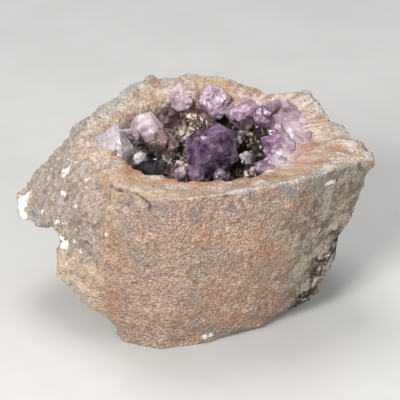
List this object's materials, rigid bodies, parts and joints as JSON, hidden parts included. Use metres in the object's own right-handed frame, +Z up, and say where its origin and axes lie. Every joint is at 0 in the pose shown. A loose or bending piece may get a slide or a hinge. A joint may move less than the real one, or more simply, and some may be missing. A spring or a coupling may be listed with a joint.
{
  "type": "geode half",
  "caption": "Broken block of weathered rock with an open hollow in its top, lined with a crust of amethyst crystals; rests on a flat underside.",
  "frame": {"origin": "under the middle of the part's box, at the level of the surface it rests on", "axes": "+X along the block's length, away from the pointed spur; +Y towards the back, away from the large weathered face; +Z up, out of the hollow"},
  "size_m": [0.1726, 0.1266, 0.0965],
  "materials": {
    "rock": "dull weathered stone, pebbly, tan brown with orange and grey patches",
    "crystal": "glassy quartz, pale lavender at the rim to dark purple in the hollow"
  },
  "bodies": {
    "root": {"rock_shell": "rock", "crystal_crust": "crystal"}
  },
  "joints": []
}
